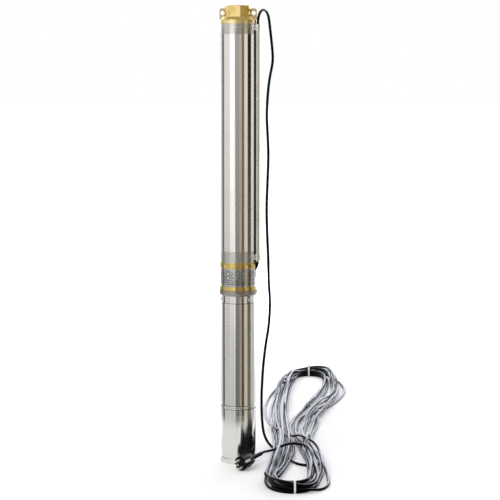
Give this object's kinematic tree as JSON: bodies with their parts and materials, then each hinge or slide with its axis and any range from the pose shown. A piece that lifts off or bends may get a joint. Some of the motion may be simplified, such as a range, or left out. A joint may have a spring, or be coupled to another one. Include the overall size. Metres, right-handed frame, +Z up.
{
  "type": "borehole submersible pump",
  "caption": "Slim borehole pump: brass outlet head with rope eyes, steel casing with cable guard, perforated intake, motor below, and a mains cable laid in a hank with its plug.",
  "frame": {"origin": "centre of the foot's flat underside, on the pump's axis", "axes": "+Z up along the pump's axis to the outlet, -Y to the front, +X to the right, towards the cable guard"},
  "size_m": [0.362, 1.4239, 1.155],
  "materials": {
    "brass": "machined, slightly dulled",
    "polished_steel": "polished stainless tube",
    "strainer_steel": "perforated stainless sheet",
    "guard_steel": "bright stainless sheet",
    "screw_steel": "bright",
    "flange_steel": "satin cast stainless",
    "bracket_steel": "turned, bright",
    "shaft_steel": "ground",
    "stage_plastic": "moulded",
    "seal_rubber": "moulded",
    "seal_ceramic": "lapped ceramic",
    "lamination_steel": "varnished laminations",
    "copper": "enamelled copper",
    "capacitor_plastic": "smooth can",
    "cable_rubber": "smooth glossy sheath",
    "plug_plastic": "moulded, semi-gloss",
    "contact_metal": "nickel plated"
  },
  "bodies": {
    "pump": {"outlet_head": "brass", "intake_bracket": "brass", "pump_casing": "polished_steel", "motor_shell": "polished_steel", "capacitor_shell": "polished_steel", "strainer": "strainer_steel", "cable_guard": "guard_steel", "guard_clips": "guard_steel", "neck_screws": "screw_steel", "guard_screws": "screw_steel", "motor_flange": "flange_steel", "lower_bracket": "bracket_steel", "base_cap": "bracket_steel", "top_bracket": "bracket_steel", "valve_spring": "shaft_steel", "bearing_outer_rings": "shaft_steel", "stage_bowl_1": "stage_plastic", "stage_bowl_2": "stage_plastic", "stage_bowl_3": "stage_plastic", "stage_bowl_4": "stage_plastic", "stage_bowl_5": "stage_plastic", "stage_bowl_6": "stage_plastic", "stage_bowl_7": "stage_plastic", "stage_bowl_8": "stage_plastic", "suction_plate": "stage_plastic", "valve_guide": "stage_plastic", "discharge_spider": "stage_plastic", "discharge_bush": "seal_rubber", "o_rings": "seal_rubber", "lead_gland": "seal_rubber", "capacitor_cup": "seal_rubber", "seal_seat": "seal_ceramic", "stator_core": "lamination_steel", "stator_winding": "copper", "capacitor": "capacitor_plastic", "motor_lead": "cable_rubber", "cord_drop": "cable_rubber", "cord_hank": "cable_rubber", "cord_tail": "cable_rubber", "plug_body": "plug_plastic", "plug_boot": "plug_plastic", "plug_contacts": "contact_metal"},
    "rotor": {"pump_shaft": "shaft_steel", "shaft_sleeve": "shaft_steel", "shaft_nut": "shaft_steel", "impeller_1": "stage_plastic", "impeller_2": "stage_plastic", "impeller_3": "stage_plastic", "impeller_4": "stage_plastic", "impeller_5": "stage_plastic", "impeller_6": "stage_plastic", "impeller_7": "stage_plastic", "impeller_8": "stage_plastic", "shaft_coupling": "shaft_steel", "seal_head": "seal_rubber", "bearing_inner_rings": "shaft_steel", "motor_shaft": "shaft_steel", "rotor_core": "lamination_steel"},
    "ball_sets": {"bearing_balls": "shaft_steel"},
    "check_valve": {"valve_poppet": "stage_plastic"}
  },
  "joints": [
    {"name": "rotor_spin", "type": "hinge", "parent": "pump", "child": "rotor", "pos_m": [0, 0, 0.5], "axis": [0, 0, 1], "continuous": true},
    {"name": "ball_orbit", "type": "hinge", "parent": "pump", "child": "ball_sets", "pos_m": [0, 0, 0.27], "axis": [0, 0, 1], "continuous": true},
    {"name": "valve_lift", "type": "slide", "parent": "pump", "child": "check_valve", "axis": [0, 0, 1], "range_m": [0, 0.008], "stiffness_N_per_m": 150, "springref_m": -0.02, "deforming": ["valve_spring"]}
  ],
  "couplings": [
    {"joint": "ball_orbit", "follows": "rotor_spin", "ratio": 0.38246}
  ]
}
